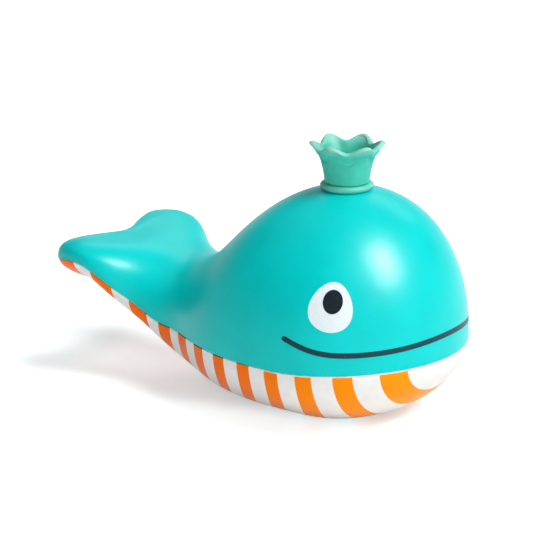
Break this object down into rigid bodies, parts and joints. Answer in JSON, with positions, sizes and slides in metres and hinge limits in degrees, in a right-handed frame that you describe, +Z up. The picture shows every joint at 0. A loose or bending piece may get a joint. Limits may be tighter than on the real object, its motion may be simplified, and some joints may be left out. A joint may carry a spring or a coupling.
{
  "type": "whale bath toy",
  "caption": "Floating whale bath toy: two lapped moulded shells, a soft pointed crown as pull-out spout, a bubble screen and an air pipe from a port in the belly.",
  "frame": {"origin": "centre of the whole toy's box in plan, on the floor that its flat base stands on", "axes": "+X to the nose, +Y to the whale's left, +Z up"},
  "size_m": [0.173, 0.1046, 0.111],
  "materials": {
    "teal_shell": "satin moulded",
    "white_shell": "satin moulded, printed stripes",
    "mint_crown": "soft matte elastomer",
    "screen": "moulded",
    "pipe": "moulded",
    "seal": "soft"
  },
  "bodies": {
    "body": {"upper_shell": "teal_shell", "belly_shell": "white_shell", "air_pipe": "pipe", "pipe_top_seal": "seal", "pipe_base_seal": "seal"},
    "spout": {"crown_spout": "mint_crown", "bubble_screen": "screen"}
  },
  "joints": [
    {"name": "crown_pull", "type": "slide", "parent": "body", "child": "spout", "axis": [0, 0, 1], "range_m": [0, 0.03]}
  ]
}
